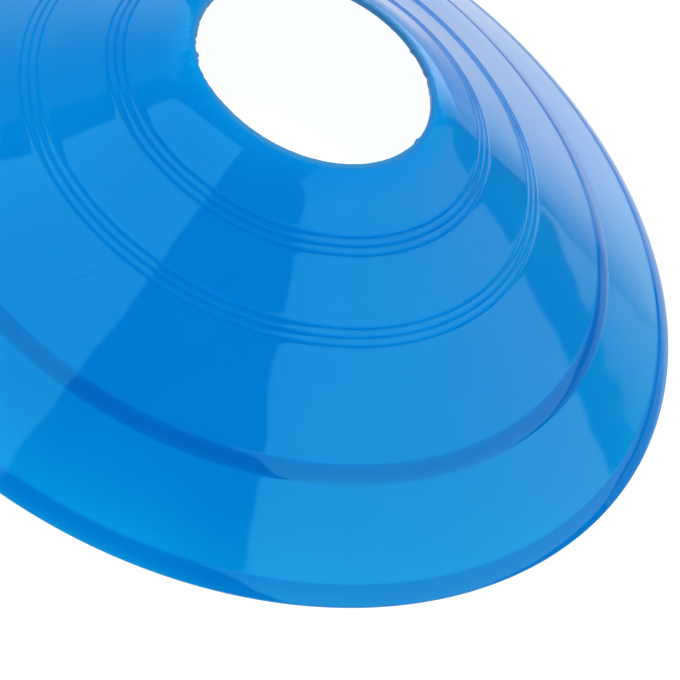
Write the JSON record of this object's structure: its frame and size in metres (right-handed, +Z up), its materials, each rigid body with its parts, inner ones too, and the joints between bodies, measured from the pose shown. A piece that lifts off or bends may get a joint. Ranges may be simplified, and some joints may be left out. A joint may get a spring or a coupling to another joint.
{
  "type": "marker cone",
  "caption": "Low cone-shaped ground marker with an open crown, for marking out a playing or training area. It stacks on others of its kind.",
  "frame": {"origin": "middle of the base, on the plane that the rim stands on", "axes": "+Z up along the cone's axis, out through the crown hole. The shell is round, so +X and +Y are any two level directions at a right angle"},
  "size_m": [0.2, 0.2, 0.049],
  "materials": {
    "blue_polyethylene": "glossy moulded polyethylene"
  },
  "bodies": {
    "root": {"marker_shell": "blue_polyethylene"}
  },
  "joints": []
}
